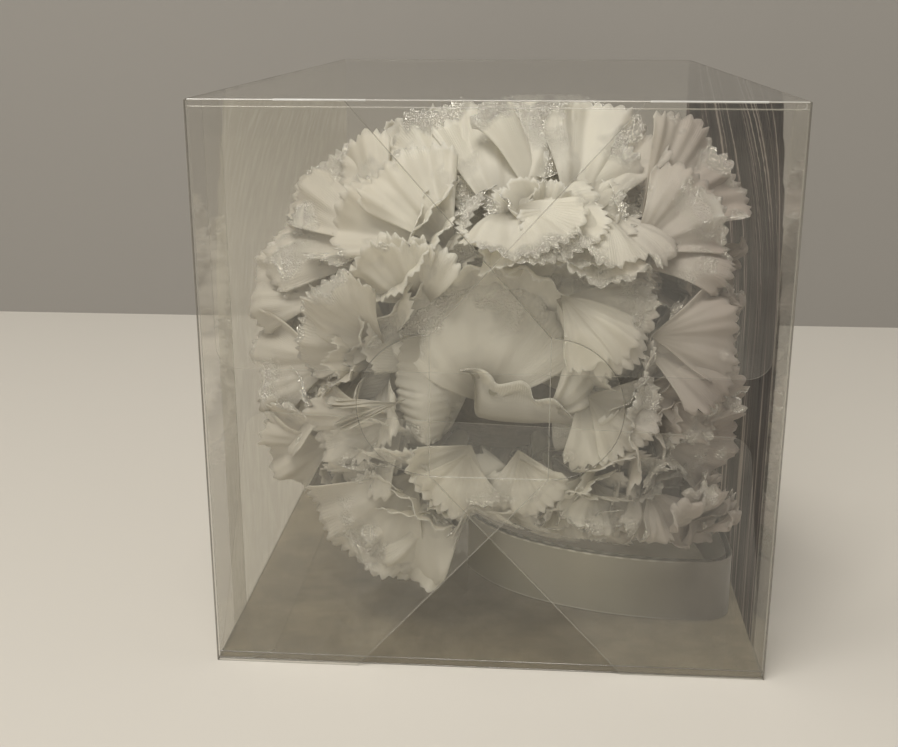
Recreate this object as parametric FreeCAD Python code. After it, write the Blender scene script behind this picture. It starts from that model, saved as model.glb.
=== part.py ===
import FreeCAD, Part
import math
import os

# A clear film carton lying on its base, with a ball of fabric carnations and a satin ribbon in it.
# Millimetres. X to the right, Y from the locked front end to the lidded rear end, Z up.
# The origin is at the middle of the base, halfway between the two ends.

V = FreeCAD.Vector
UP = V(0, 0, 1)

# Carton
width = 152.0
height = 155.0
depth = 254.0
film = 0.3                    # thickness of the plastic film
layer_gap = 0.35              # air between two flaps that lie on each other
crease_gap = 0.1              # from a crease to the flap that turns on it
fold_radius = 0.2             # of the roll inside the corner, on which a flap folds inwards
fold_standoff = 0.15          # from the film to the middle of that roll
seam_tab_width = 15.0
left_tab_depth = 31.0
right_tab_depth = 18.0
tab_corner = 8.0

# Front end: four flaps
lock_drop = 0.9               # how far the tongues' middle lies under the panel's middle
tongue_radius = 19.3
lock_flap_reach = 91.7        # from a side panel to the crease of its flap's tongue
left_shoulder = 40.0          # how far a lock flap's full height runs from its hinge
right_shoulder = 39.0
slit_height = 39.4            # length of the crease that carries a tongue
inner_top_over = 9.1          # from the tongues' middle up to the inner top flap's free edge
inner_top_inset = 4.2
inner_bottom_left_under = 2.6     # from the tongues' middle down to the inner bottom flap
inner_bottom_right_under = 6.8
inner_bottom_left_inset = 11.7
inner_bottom_right_inset = 8.4
inner_bottom_root_inset = 0.8
inner_corner = 6.0

# Rear end: a lid with its tuck flap, and two dust flaps
tuck_length = 20.0
tuck_rise = 2.4               # how much higher the tuck flap's free edge lies than its crease
tuck_side = 8.0               # from a side panel to the tuck flap
tuck_corner = 9.0
dust_length = 58.0
dust_root_inset = 6.0         # from the base and the top panel to the dust flap at its hinge
dust_tip_inset = 13.0
dust_corner = 8.0

# Carnation ball
ball_setback = 62.0           # from the front end to the ball's middle
ball_shift = 2.0              # how far the ball lies right of the middle
ball_height = 75.0            # of the ball's middle over the base
ball_reach = 76.5             # from the ball's middle to the longest petals
petal_clearance = 0.4         # from the petals to the film around them
core_radius = 30.0
core_seam_angle = -104.0      # the meridian where its surface closes, clear of every hole
stem_radius = 1.2
stem_depth = 16.0             # how far a stem goes into the foam
stem_clearance = 0.05
calyx_base_radius = 2.2
calyx_rim_radius = 4.0
calyx_length = 7.0
head_spread = 19.0            # half the cone that a head fills, in degrees
grazing_angle = 80.0          # a wall that lies further round from a head doesn't limit it
petal_thickness = 0.9
petal_hole_clearance = 0.15
disc_spacing = 3.0
pinked_teeth = 18
tooth_depth = 1.8
petal_discs = ((1.0, 0.84), (0.76, 0.94), (0.46, 1.0))   # share of the cone, share of the reach

# The heads, as azimuth from the front (positive to the right) and elevation, in degrees
head_angles = {
    "front_mid": (-2, 2),
    "front_upper": (18, 45),
    "front_low_left": (-31, -42),
    "front_low_right": (28, -41),
    "right_mid": (57, -10),
    "left_mid": (-50, 8),
    "upper_left": (-60, 48),
    "upper_right": (84, 34),
    "low_left": (-88, -34),
    "low_right": (88, -46),
    "left_back": (-101, 14),
    "right_back": (112, -4),
    "top": (120, 76),
    "back_upper_left": (-134, 50),
    "back_upper_right": (147, 37),
    "back_left": (-148, 2),
    "back_mid": (162, -8),
    "back_low_left": (-140, -44),
    "back_low_right": (156, -57),
}

# Ribbon: a flat loop that stands on its edge, doubled back on itself
ribbon_width = 19.0
ribbon_thickness = 0.45
ribbon_clearance = 0.35       # from the base to its lower edge
ribbon_fold_radius = 1.6      # of the fold where the loop doubles back
ribbon_start_x = -9.0
ribbon_start_setback = 65.0   # from the front end to its neck
ribbon_start_angle = -62.0    # degrees from +X towards the rear
# its bends in plan, one after the other: radius, and turn in degrees, positive to the left
ribbon_radii = (52.0, 98.0, 8.5, 900.0, 75.0)
ribbon_angles = (36.0, 30.0, 86.0, 2.0, 44.0)
neck_width = 5.0
neck_seat = 8.0               # how far the neck goes into the foam
floral_pin_radius = 0.5       # a straight pin through the foam and the neck
floral_pin_length = 17.0
floral_pin_head = 1.3
floral_pin_outside = 8.5      # from the neck's middle to the pin's head
floral_pin_depth = 4.0        # from the neck's top down to the pin

# Petal pin
petal_pin_angles = (-46, 80)   # azimuth and elevation
petal_pin_bead = 2.0
petal_pin_radius = 0.4
petal_pin_reach = 71.0
petal_pin_seat = 14.0

# Worked out from the sizes above
half_width = width / 2
lock_centre_height = height / 2 - lock_drop
front = -depth / 2
rear = depth / 2
outer_layer = front
middle_layer = outer_layer + film + layer_gap
inner_layer = middle_layer + film + layer_gap
lid_layer = rear - film
dust_layer = lid_layer - layer_gap - film
inside_x = half_width - 2 * film
ball_middle = V(ball_shift, front + ball_setback, ball_height)
ribbon_bottom = film + ribbon_clearance
ribbon_top = ribbon_bottom + ribbon_width
outward_root = film + crease_gap          # from a panel's outer face to a flap that folds outwards
inward_root = fold_standoff + fold_radius + crease_gap      # from its inner face, folding inwards


def export(shape, node):
    """Writes one sub-part."""
    shape.exportStep(f"parts/{node}.step")


def block(x0, x1, y0, y1, z0, z1):
    """A plain slab between two corners."""
    return Part.makeBox(x1 - x0, y1 - y0, z1 - z0, V(x0, y0, z0))


def rounded(points, radii):
    """A closed outline of straight edges whose corners are rounded, where a radius is given."""
    edges = []
    ends = []
    count = len(points)
    for i, corner in enumerate(points):
        before = points[i - 1] - corner
        after = points[(i + 1) % count] - corner
        if not radii[i]:
            ends.append((corner, None, corner))
            continue
        half = before.getAngle(after) / 2
        run = radii[i] / math.tan(half)
        into = corner + V(before).normalize() * run
        out = corner + V(after).normalize() * run
        middle = V(before).normalize() + V(after).normalize()
        top = corner + middle.normalize() * (radii[i] / math.sin(half) - radii[i])
        ends.append((into, top, out))
    for i, (into, top, out) in enumerate(ends):
        if top:
            edges.append(Part.Arc(into, top, out).toShape())
        edges.append(Part.LineSegment(out, ends[(i + 1) % count][0]).toShape())
    return Part.Wire(edges)


def rounded_end(x, y, low, high):
    """The upright rounded end of a sheet, on which the next flap turns."""
    return Part.makeCylinder(film / 2, high - low, V(x, y, low))


def upright_sheet(points, y, radii=None):
    """A film sheet parallel to the ends, from an outline in X and Z."""
    corners = [V(x, y, z) for x, z in points]
    wire = rounded(corners, radii or [0] * len(corners))
    return Part.Face(wire).extrude(V(0, film, 0))


def direction(place):
    """The unit vector of an azimuth and elevation, seen from the ball's middle."""
    azimuth, elevation = (math.radians(a) for a in place)
    level = math.cos(elevation)
    return V(math.sin(azimuth) * level, -math.cos(azimuth) * level, math.sin(elevation))


def stand_on_ball(shape, axis):
    """Turns a shape made on the Z axis to point out of the ball's middle."""
    placed = shape.copy()
    placed.Placement = FreeCAD.Placement(ball_middle, FreeCAD.Rotation(UP, axis))
    return placed


# ---- Carton: the tube

def make_base_panel():
    export(block(-half_width + film, half_width - film, inner_layer, rear, 0, film), "base_panel")


def make_top_panel():
    """Its rear end is rounded, as the crease of the lid."""
    x = half_width - film
    end = lid_layer + film / 2
    top = block(-x, x, inner_layer, end, height - film, height)
    crease = Part.makeCylinder(film / 2, 2 * x, V(-x, end, height - film / 2), V(1, 0, 0))
    export(top.fuse(crease).removeSplitter(), "top_panel")


def make_side_panel(side, layer, node):
    """From the crease of its lock flap to the roll on which its dust flap turns."""
    x = side * (half_width - film / 2)
    start = layer + film / 2
    end = dust_layer + film
    panel = block(x - film / 2, x + film / 2, start, end, 0, height)
    roll_x = side * (half_width - film - fold_standoff)
    roll_height = height - 2 * dust_root_inset
    roll_place = V(roll_x, dust_layer + film / 2, dust_root_inset)
    roll = Part.makeCylinder(fold_radius, roll_height, roll_place)
    export(panel.fuse([rounded_end(x, start, 0, height), roll]).removeSplitter(), node)


def make_seam_tab():
    start = inner_layer + film
    inner = -half_width + seam_tab_width
    end = dust_layer - layer_gap
    points = [
        V(-half_width + film, start, film),
        V(inner - seam_tab_width / 3, start, film),
        V(inner, start + seam_tab_width / 3, film),
        V(inner, end - seam_tab_width / 3, film),
        V(inner - seam_tab_width / 3, end, film),
        V(-half_width + film, end, film),
    ]
    face = Part.Face(Part.makePolygon(points + points[:1]))
    export(face.extrude(V(0, 0, film)), "glue_seam_tab")


def make_corner_tab(side, tab_depth, node):
    """A tab that lies against the inside of a side panel, from the front end."""
    x = side * (half_width - film)
    start = inner_layer + film + crease_gap
    low = 2 * film
    high = height - film
    corners = [
        V(x, start, low),
        V(x, start + tab_depth, low),
        V(x, start + tab_depth, high),
        V(x, start, high),
    ]
    wire = rounded(corners, [0, 0, tab_corner, 0])
    export(Part.Face(wire).extrude(V(-side * film, 0, 0)), node)


# ---- Carton: the front end

def lock_flap(side, y, shoulder):
    """A lock flap from its side panel to the crease of its tongue."""
    root = side * (half_width - outward_root)
    edge = side * (half_width - shoulder)
    crease = side * (half_width - lock_flap_reach)
    low = lock_centre_height - slit_height / 2
    high = lock_centre_height + slit_height / 2
    points = [
        (root, crease_gap),
        (edge, crease_gap),
        (crease, low),
        (crease, high),
        (edge, height - crease_gap),
        (root, height - crease_gap),
    ]
    return upright_sheet(points, y)


def tongue(side, y, start):
    """A half-round tongue beyond its crease, on the flap hinged at that side."""
    crease = side * (half_width - lock_flap_reach - start)
    run = tongue_radius - start
    rise = math.sqrt(tongue_radius ** 2 - start ** 2)
    low = V(crease, y, lock_centre_height - rise)
    high = V(crease, y, lock_centre_height + rise)
    tip = V(crease - side * run, y, lock_centre_height)
    edges = [Part.Arc(low, tip, high).toShape(), Part.LineSegment(high, low).toShape()]
    return Part.Face(Part.Wire(edges)).extrude(V(0, film, 0))


def make_front_top_flap():
    x = half_width - inner_top_inset
    high = height - film
    low = lock_centre_height + inner_top_over
    points = [(-x, high), (-x, low), (x, low), (x, high)]
    export(upright_sheet(points, inner_layer, [0, inner_corner, inner_corner, 0]), "front_top_flap")


def make_front_bottom_flap():
    root = half_width - inner_bottom_root_inset
    points = [
        (-root, film),
        (root, film),
        (half_width - inner_bottom_right_inset, lock_centre_height - inner_bottom_right_under),
        (-half_width + inner_bottom_left_inset, lock_centre_height - inner_bottom_left_under),
    ]
    sheet = upright_sheet(points, inner_layer, [0, 0, inner_corner, inner_corner])
    export(sheet, "front_bottom_flap")


def make_lock_flaps():
    left_side = -1
    right_side = 1
    crease = rounded_end(
        lock_flap_reach - half_width,
        outer_layer + film / 2,
        lock_centre_height - slit_height / 2,
        lock_centre_height + slit_height / 2,
    )
    flap = lock_flap(left_side, outer_layer, left_shoulder).fuse(crease).removeSplitter()
    export(flap, "front_left_flap")
    export(tongue(left_side, outer_layer, film / 2 + crease_gap), "front_left_tongue")
    flap = lock_flap(right_side, middle_layer, right_shoulder)
    flap = flap.fuse(tongue(right_side, middle_layer, 0)).removeSplitter()
    export(flap, "front_right_flap")


# ---- Carton: the rear end

def make_rear_lid():
    """With the roll at its free edge, on which the tuck flap turns."""
    low = film + layer_gap
    lid = block(-half_width, half_width, lid_layer, rear, low, height - outward_root)
    x = half_width - tuck_side
    roll_place = V(-x, lid_layer - fold_standoff, low + film / 2)
    roll = Part.makeCylinder(fold_radius, 2 * x, roll_place, V(1, 0, 0))
    export(lid.fuse(roll).removeSplitter(), "rear_lid")


def make_tuck_flap():
    root = lid_layer - inward_root
    tip = root - tuck_length
    x = half_width - tuck_side
    low = film + layer_gap
    high = low + tuck_rise
    corners = [V(-x, root, low), V(-x, tip, high), V(x, tip, high), V(x, root, low)]
    wire = rounded(corners, [0, tuck_corner, tuck_corner, 0])
    export(Part.Face(wire).extrude(V(0, 0, film)), "tuck_flap")


def make_dust_flap(side, node):
    root = side * (half_width - film - inward_root)
    tip = side * (half_width - film - inward_root - dust_length)
    points = [
        (root, dust_root_inset),
        (tip, dust_tip_inset),
        (tip, height - dust_tip_inset),
        (root, height - dust_root_inset),
    ]
    export(upright_sheet(points, dust_layer, [0, dust_corner, dust_corner, 0]), node)


# ---- Carnation ball

def room_towards(normal, axis):
    """How far a head may reach along its axis before its cap meets one wall of film."""
    walls = {
        (1, 0, 0): inside_x - petal_clearance - ball_middle.x,
        (-1, 0, 0): inside_x - petal_clearance + ball_middle.x,
        (0, -1, 0): ball_middle.y - inner_layer - film - petal_clearance,
        (0, 0, 1): height - film - petal_clearance - ball_middle.z,
        (0, 0, -1): ball_middle.z - 2 * film - petal_clearance,
    }
    off_axis = max(0.0, math.degrees(V(*normal).getAngle(axis)) - head_spread)
    if off_axis > grazing_angle:
        return ball_reach
    return walls[normal] / math.cos(math.radians(off_axis))


def room_over_ribbon(axis):
    """How far a low head at the front may reach before it meets the ribbon under it."""
    polar = math.degrees(V(0, 0, -1).getAngle(axis)) - head_spread
    if axis.z > -0.5 or axis.y > 0:
        return ball_reach
    room = ball_middle.z - ribbon_top - petal_clearance
    return room / math.cos(math.radians(max(0.0, polar)))


def head_reach(axis):
    """The longest petals of a head: the ball's reach, or as far as film and ribbon allow."""
    normals = ((1, 0, 0), (-1, 0, 0), (0, -1, 0), (0, 0, 1), (0, 0, -1))
    rooms = [room_towards(normal, axis) for normal in normals]
    return min([ball_reach, room_over_ribbon(axis)] + rooms)


def pinked_outline(radius):
    """A prism whose section is a circle with pinked teeth."""
    corners = []
    for i in range(2 * pinked_teeth):
        r = radius if i % 2 else radius - tooth_depth
        angle = math.pi * i / pinked_teeth
        corners.append(V(r * math.cos(angle), r * math.sin(angle), 0))
    face = Part.Face(Part.makePolygon(corners + corners[:1]))
    return face.extrude(V(0, 0, ball_reach))


def petal_disc(hub, rim_radius, rim_height):
    """A cupped disc of fabric, threaded on the calyx at hub, with a pinked rim."""
    hole = stem_radius + petal_hole_clearance
    profile = [(hole, hub), (calyx_rim_radius, hub)]
    profile.append((0.6 * rim_radius, hub + 0.5 * (rim_height - hub)))
    profile.append((rim_radius, rim_height))
    upper = [V(r, 0, z) for r, z in profile]
    lower = [V(r, 0, z - petal_thickness) for r, z in reversed(profile)]
    outline = Part.makePolygon(upper + lower + upper[:1])
    disc = Part.Face(outline).revolve(V(0, 0, 0), UP, 360)
    return disc.common(pinked_outline(rim_radius))


def head_hub():
    """Where the lowest disc sits on the stem, from the ball's middle."""
    return core_radius + calyx_length + petal_thickness


def head_petals(reach):
    discs = []
    for i, (cone_share, reach_share) in enumerate(petal_discs):
        spread = math.radians(head_spread * cone_share)
        rim = reach * reach_share
        hub = head_hub() + i * disc_spacing
        discs.append(petal_disc(hub, rim * math.sin(spread), rim * math.cos(spread)))
    return Part.makeCompound(discs)


def head_calyx():
    """A plastic cup on a stem that goes into the foam and up through the discs."""
    top = head_hub() + len(petal_discs) * disc_spacing
    low = core_radius - stem_depth
    stem = Part.makeCylinder(stem_radius, top - low, V(0, 0, low))
    gap = crease_gap
    cup = Part.makeCone(calyx_base_radius, calyx_rim_radius, calyx_length - gap, V(0, 0, core_radius + gap))
    return stem.fuse(cup)


def make_heads():
    calyx = head_calyx()
    for name, place in head_angles.items():
        axis = direction(place)
        petals = head_petals(head_reach(axis))
        export(stand_on_ball(calyx, axis), f"carnation_{name}_calyx")
        export(stand_on_ball(petals, axis), f"carnation_{name}_petals")


def stem_hole(axis):
    radius = stem_radius + stem_clearance
    low = core_radius - stem_depth - stem_clearance
    return stand_on_ball(Part.makeCylinder(radius, core_radius, V(0, 0, low)), axis)


def make_core(cuts):
    ball = Part.makeSphere(core_radius, ball_middle)
    ball.rotate(ball_middle, UP, core_seam_angle)
    holes = [stem_hole(direction(place)) for place in head_angles.values()]
    export(ball.cut(holes + cuts), "foam_core")


# ---- Ribbon and pins

def ribbon_bend(x, y, heading, radius, turn, offset):
    """One bend of the ribbon in plan, and where it ends. Offset moves the strip to the left."""
    sign = 1 if turn > 0 else -1
    centre = V(x - sign * radius * math.sin(heading), y + sign * radius * math.cos(heading), 0)
    inner = radius - sign * offset - ribbon_thickness / 2
    outer = inner + ribbon_thickness
    begin = heading - sign * math.pi / 2
    end = begin + math.radians(turn)
    corners = []
    for angle in (begin, (begin + end) / 2, end):
        spoke = V(math.cos(angle), math.sin(angle), 0)
        corners.append((centre + spoke * inner, centre + spoke * outer))
    edges = [
        Part.Arc(corners[0][0], corners[1][0], corners[2][0]).toShape(),
        Part.LineSegment(corners[2][0], corners[2][1]).toShape(),
        Part.Arc(corners[2][1], corners[1][1], corners[0][1]).toShape(),
        Part.LineSegment(corners[0][1], corners[0][0]).toShape(),
    ]
    face = Part.Face(Part.Wire(edges))
    face.translate(V(0, 0, ribbon_bottom))
    strip = face.extrude(V(0, 0, ribbon_width))
    spoke = V(math.cos(end), math.sin(end), 0)
    finish = centre + spoke * radius
    return strip, finish.x, finish.y, heading + math.radians(turn)


def ribbon_run(offset):
    """All bends of one leg of the loop, and where the leg ends."""
    x = ribbon_start_x
    y = front + ribbon_start_setback
    heading = math.radians(ribbon_start_angle)
    strips = []
    for radius, turn in zip(ribbon_radii, ribbon_angles):
        strip, x, y, heading = ribbon_bend(x, y, heading, radius, turn, offset)
        strips.append(strip)
    return strips, x, y, heading


def make_ribbon():
    outer_leg, x, y, heading = ribbon_run(0.0)
    inner_leg = ribbon_run(2 * ribbon_fold_radius)[0]
    fold = ribbon_bend(x, y, heading, ribbon_fold_radius, 180.0, 0.0)[0]
    loop = outer_leg[0].fuse(outer_leg[1:] + [fold] + inner_leg + [ribbon_neck()])
    export(loop.removeSplitter().cut(floral_pin(stem_clearance)), "ribbon_loop")


def neck_frame():
    """The neck's two faces across the legs, in plan: its corner, across and along."""
    heading = math.radians(ribbon_start_angle)
    along = V(math.cos(heading), math.sin(heading), 0)
    across = V(-along.y, along.x, 0)
    corner = V(ribbon_start_x, front + ribbon_start_setback, 0) - across * (ribbon_thickness / 2)
    return corner, across * (2 * ribbon_fold_radius + ribbon_thickness), along * neck_width


def ribbon_neck(clearance=0.0):
    """The gathered ends of the ribbon, from its legs up into the foam."""
    corner, across, along = neck_frame()
    out = V(across).normalize() * clearance + V(along).normalize() * clearance
    points = [corner - out, corner + across, corner + across + along, corner + along]
    points[1] += V(across).normalize() * clearance - V(along).normalize() * clearance
    points[2] += out
    points[3] += V(along).normalize() * clearance - V(across).normalize() * clearance
    face = Part.Face(Part.makePolygon(points + points[:1]))
    face.translate(V(0, 0, ribbon_bottom))
    return face.extrude(V(0, 0, neck_top() + clearance - ribbon_bottom))


def neck_top():
    return ball_middle.z - core_radius + neck_seat


def floral_pin(clearance=0.0):
    """The pin, level, across the neck, with its flat head. It may have some clearance."""
    corner, across, along = neck_frame()
    way = V(across).normalize()
    start = corner + across / 2 + along / 2 - way * (floral_pin_outside + clearance)
    start.z = neck_top() - floral_pin_depth
    length = floral_pin_length + 2 * clearance
    shaft = Part.makeCylinder(floral_pin_radius + clearance, length, start, way)
    head_thickness = floral_pin_radius + 2 * clearance
    head = Part.makeCylinder(floral_pin_head + clearance, head_thickness, start, way)
    return shaft.fuse(head)


def make_petal_pin(axis):
    seat = core_radius - petal_pin_seat
    shaft = Part.makeCylinder(petal_pin_radius, petal_pin_reach - seat, V(0, 0, seat))
    bead = Part.makeSphere(petal_pin_bead, V(0, 0, petal_pin_reach))
    export(stand_on_ball(shaft.fuse(bead), axis), "petal_pin")


def petal_pin_hole(axis):
    seat = core_radius - petal_pin_seat - stem_clearance
    radius = petal_pin_radius + stem_clearance
    return stand_on_ball(Part.makeCylinder(radius, core_radius, V(0, 0, seat)), axis)


def main():
    os.makedirs("parts", exist_ok=True)
    make_base_panel()
    make_top_panel()
    make_side_panel(-1, outer_layer, "left_side_panel")
    make_side_panel(1, middle_layer, "right_side_panel")
    make_seam_tab()
    make_corner_tab(-1, left_tab_depth, "left_corner_tab")
    make_corner_tab(1, right_tab_depth, "right_corner_tab")
    make_front_top_flap()
    make_front_bottom_flap()
    make_lock_flaps()
    make_rear_lid()
    make_tuck_flap()
    make_dust_flap(-1, "rear_left_dust_flap")
    make_dust_flap(1, "rear_right_dust_flap")
    make_heads()
    pin_axis = direction(petal_pin_angles)
    make_core([ribbon_neck(stem_clearance), petal_pin_hole(pin_axis), floral_pin(stem_clearance)])
    make_petal_pin(pin_axis)
    export(floral_pin(), "floral_pin")
    make_ribbon()


main()
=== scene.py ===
import functools
import math
import random
from types import SimpleNamespace

import bpy
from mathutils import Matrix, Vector, noise


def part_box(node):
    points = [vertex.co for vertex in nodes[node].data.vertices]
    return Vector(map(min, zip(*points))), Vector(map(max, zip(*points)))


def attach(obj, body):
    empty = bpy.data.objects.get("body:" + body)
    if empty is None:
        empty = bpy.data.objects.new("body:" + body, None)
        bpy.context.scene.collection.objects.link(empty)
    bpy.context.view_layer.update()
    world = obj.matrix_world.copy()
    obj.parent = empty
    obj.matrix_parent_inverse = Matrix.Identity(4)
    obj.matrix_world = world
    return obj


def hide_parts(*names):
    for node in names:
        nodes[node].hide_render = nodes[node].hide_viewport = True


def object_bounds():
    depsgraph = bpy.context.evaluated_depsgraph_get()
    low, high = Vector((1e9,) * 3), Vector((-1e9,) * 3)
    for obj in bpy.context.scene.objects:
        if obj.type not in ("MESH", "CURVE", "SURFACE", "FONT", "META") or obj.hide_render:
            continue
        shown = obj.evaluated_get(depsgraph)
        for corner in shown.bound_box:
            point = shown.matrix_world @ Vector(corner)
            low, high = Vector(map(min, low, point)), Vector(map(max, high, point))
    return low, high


# A clear film carton with a ball of fabric carnations and a satin ribbon in it.
# Metres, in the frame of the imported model: X to the right, Y away from the camera, Z up.

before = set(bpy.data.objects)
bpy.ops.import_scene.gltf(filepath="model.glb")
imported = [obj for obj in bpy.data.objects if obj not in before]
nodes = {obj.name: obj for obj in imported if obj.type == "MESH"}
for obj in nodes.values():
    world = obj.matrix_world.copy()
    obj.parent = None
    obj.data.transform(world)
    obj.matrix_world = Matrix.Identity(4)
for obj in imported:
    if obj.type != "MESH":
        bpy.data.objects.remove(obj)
cad_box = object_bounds()

MM = 0.001

# Camera, measured from the photograph's vanishing points
camera_place = Vector((0.0120, -0.4257, 0.1759))
camera_heading = Vector((-0.075, 0.997, 0))
camera_pitch = math.radians(16.7)
camera_lens = 48.55

# Stage
floor_far_edge = 0.27
floor_half_width = 1.6
backdrop_half_height = 1.0
floor_colour = (0.60, 0.57, 0.515)
backdrop_colour = (0.325, 0.308, 0.283)

# Film
film = 0.3 * MM                # its thickness
film_inside_x = 75.0 * MM      # petals stay inside these planes
film_inside_front = -124.9 * MM
film_inside_top = 154.2 * MM
film_inside_base = 1.0 * MM

# Side walls: flat and clear as far back as the corner tabs, and rippled behind them
right_tab_depth = 18 * MM
left_tab_depth = 20 * MM
wall_columns = 420
wall_rows = 14
ripple_rise = 12 * MM          # the ripples grow to their depth over this length
ripple_fall = 10 * MM          # and end over this one, before the rear
edge_swell = 0.35              # share of the ripples' depth that is left at the wall's top and base
wall_bow = 20 * MM             # ripples bow this far to the rear; streaks start this far back at the top
streak_bow_height = 0.45       # share of the height, from the top, in which the streaks come forward
streak_lean = 1.5              # bows them forward, most of all halfway along the wall

# Folds and cut edges, drawn as thin lines of film
fold_line_radius = 0.22 * MM
painted_highlight_radius = 1.35 * fold_line_radius
cut_line_radius = 0.12 * MM
score_line_radius = 0.8 * cut_line_radius
second_fold_drop = 1.7 * MM    # a score beside the fold at the front's top, and at its base
second_fold_rise = 2.0 * MM
painted_highlights = {"left": (-54 * MM, -31 * MM), "right": (38 * MM, 66 * MM)}     # painted highlights: bright stretches of the top fold
corner_loop = Vector((73.9 * MM, 154.0 * MM))    # a loop of film at the front's upper right corner
corner_loop_bulge = 1.1 * MM
corner_loop_rise = 0.85 * MM
left_shoulder = 40 * MM        # how far a lock flap's full height runs from its hinge
right_shoulder = 39 * MM
tongue_arc = 0.97              # share of a tongue's half circle that is drawn, so it clears the crease

# Ball of carnations
middle = sum(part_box("foam_core"), Vector()) / 2
core_radius = 30 * MM
hub_radius = 3.0 * MM
tooth_depth = 2.0 * MM
rim_row = 0.999                # a point is on a petal's rim from this share of its length on
soft_margin = 5.0 * MM         # within this of the film a petal begins to flatten against it

# Room for the petals: left of low_until they hang to the base, and right of high_from they stay
# above the ribbon, and above what the camera sees of it
low_until = -16 * MM
high_from = -4 * MM
ribbon_top_clear = 21.5 * MM
sight_slope = 0.48             # how steeply the camera looks down on the ribbon
ribbon_right_y = -92 * MM      # how far to the front the ribbon is taken to be, right of its loop
ribbon_rear = 40 * MM          # petals further than this behind the ball's middle hang to the base
front_hang = 13 * MM           # how far above the base the petals at the front end
hang_from = 25 * MM            # the rise to it begins this far behind the ball's middle
hang_run = 30 * MM             # and takes this length
front_middle = Vector((1 * MM, 80 * MM))
front_room = 23 * MM           # depth kept free for the front head's middle petals
front_room_radius = 33 * MM
front_room_run = 10 * MM
other_heads_clear = 36 * MM    # the rim of another head's petal comes no nearer to the front head's middle
near_front = -95 * MM          # where it would be in front of this
most_drop = 6 * MM             # a rim may point this far below its room, or below the front head's middle

# Ribbon: a loop that stands on its edge and is doubled back on itself
ribbon_width = 19 * MM
ribbon_thickness = 0.4 * MM
ribbon_bottom = 0.65 * MM
ribbon_sway = 0.35 * MM
ribbon_sway_pace = 40          # how quickly the sway changes along it, per metre
ribbon_fold_radius = 0.9 * MM
ribbon_fold_steps = 12
ribbon_step = 3 * MM
ribbon_turn_step = 8           # degrees
ribbon_start = Vector((-9 * MM, -62 * MM, 0))
ribbon_start_angle = math.radians(-62)
ribbon_radii = (52 * MM, 98 * MM, 8.5 * MM, 900 * MM, 75 * MM)
ribbon_angles = (36, 30, 86, 2, 44)
neck_width = 5 * MM            # of the gathers that go up to the foam
neck_folds = 5
neck_steps = 14
outer_leg, inner_leg = 1, -1
neck_top = {
    outer_leg: Vector((-1.5 * MM, -66.5 * MM, 52 * MM)),
    inner_leg: Vector((-1.5 * MM, -61.5 * MM, 52 * MM)),
}


# ---- Helpers

def deselect():
    bpy.ops.object.select_all(action="DESELECT")


def select_only(piece):
    deselect()
    piece.select_set(True)
    bpy.context.view_layer.objects.active = piece


def named(name):
    """The active object, renamed with its mesh."""
    piece = bpy.context.active_object
    piece.name = name
    piece.data.name = name
    return piece


def settle(piece):
    """Puts the piece's place into its mesh."""
    select_only(piece)
    bpy.ops.object.transform_apply(location=True, rotation=True, scale=True)


def thicken(piece, thickness):
    """Gives a sheet its thickness, half of it on each side."""
    select_only(piece)
    solid = piece.modifiers.new("thickness", "SOLIDIFY")
    solid.thickness = thickness
    solid.offset = 0
    bpy.ops.object.modifier_apply(modifier=solid.name)


def paint(piece, material):
    """One material all over a piece, or in every slot of a node."""
    if not piece.material_slots:
        piece.data.materials.append(material)
    for place in piece.material_slots:
        place.material = material


def smooth_step(x):
    x = min(1.0, max(0.0, x))
    return x * x * (3 - 2 * x)


# ---- Node trees

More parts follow.
